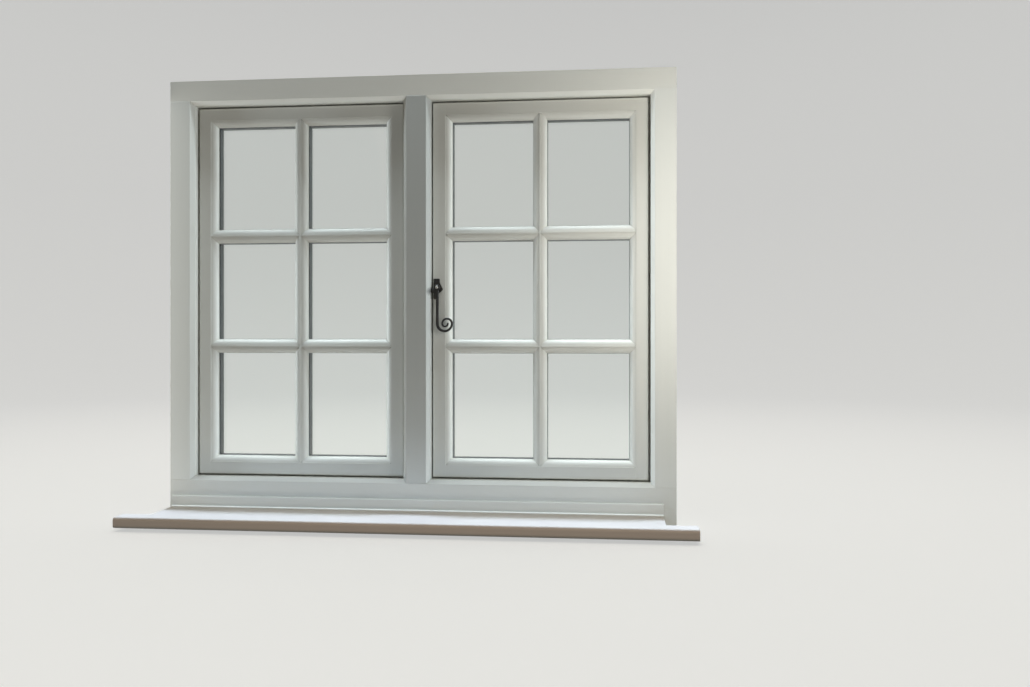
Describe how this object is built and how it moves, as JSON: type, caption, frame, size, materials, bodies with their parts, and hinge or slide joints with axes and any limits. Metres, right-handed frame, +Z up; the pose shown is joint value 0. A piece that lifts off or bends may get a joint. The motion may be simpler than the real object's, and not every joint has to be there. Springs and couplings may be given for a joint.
{
  "type": "stormproof casement window",
  "caption": "Painted timber stormproof casement window with two barred lights, sealed units, window board and a monkey-tail fastener.",
  "frame": {"origin": "on the sub-sill's underside, at mid width and at the middle of the frame's depth", "axes": "+X to the right seen from the room, +Y outwards through the wall, +Z up"},
  "size_m": [1.294, 0.293, 1.045],
  "materials": {
    "frame_paint": "painted satin, off-white, on softwood",
    "sill_paint": "painted satin, off-white, on hardwood",
    "sash_paint": "painted satin, off-white, on softwood",
    "board_paint": "painted satin, off-white, on moisture-resistant board",
    "glass": "clear float glass",
    "spacer_bar": "black edge spacer",
    "seal_rubber": "matt",
    "black_iron": "hammered black iron",
    "rivet_steel": "worn bright steel rivet",
    "strike_paint": "painted over with the frame",
    "hinge_steel": "zinc-plated steel"
  },
  "bodies": {
    "window": {"cover_fillet": "frame_paint", "fastener_pivot": "rivet_steel", "fastener_plate": "black_iron", "fastener_strike": "strike_paint", "frame_head": "frame_paint", "frame_jamb_left": "frame_paint", "frame_jamb_right": "frame_paint", "frame_mullion": "frame_paint", "frame_sill": "sill_paint", "hinge_lower_frame_leaf": "hinge_steel", "hinge_lower_pin": "hinge_steel", "hinge_lower_sash_leaf": "hinge_steel", "hinge_upper_frame_leaf": "hinge_steel", "hinge_upper_pin": "hinge_steel", "hinge_upper_sash_leaf": "hinge_steel", "left_bar_vertical": "sash_paint", "left_bars_lower": "sash_paint", "left_bars_upper": "sash_paint", "left_bottom_rail": "sash_paint", "left_glass_inner": "glass", "left_glass_outer": "glass", "left_glazing_beads": "sash_paint", "left_spacers": "spacer_bar", "left_stile_left": "sash_paint", "left_stile_right": "sash_paint", "left_top_rail": "sash_paint", "left_weatherseal": "seal_rubber", "right_bar_vertical": "sash_paint", "right_bars_lower": "sash_paint", "right_bars_upper": "sash_paint", "right_bottom_rail": "sash_paint", "right_glass_inner": "glass", "right_glass_outer": "glass", "right_glazing_beads": "sash_paint", "right_spacers": "spacer_bar", "right_stile_left": "sash_paint", "right_stile_right": "sash_paint", "right_top_rail": "sash_paint", "right_weatherseal": "seal_rubber", "sub_sill": "sill_paint", "window_board": "board_paint"},
    "handle": {"fastener_handle": "black_iron"}
  },
  "joints": [
    {"name": "fastener_turn", "type": "hinge", "parent": "window", "child": "handle", "pos_m": [0.0457, -0.0173, 0.5513], "axis": [0, -1, 0], "range_deg": [0, 90]}
  ]
}
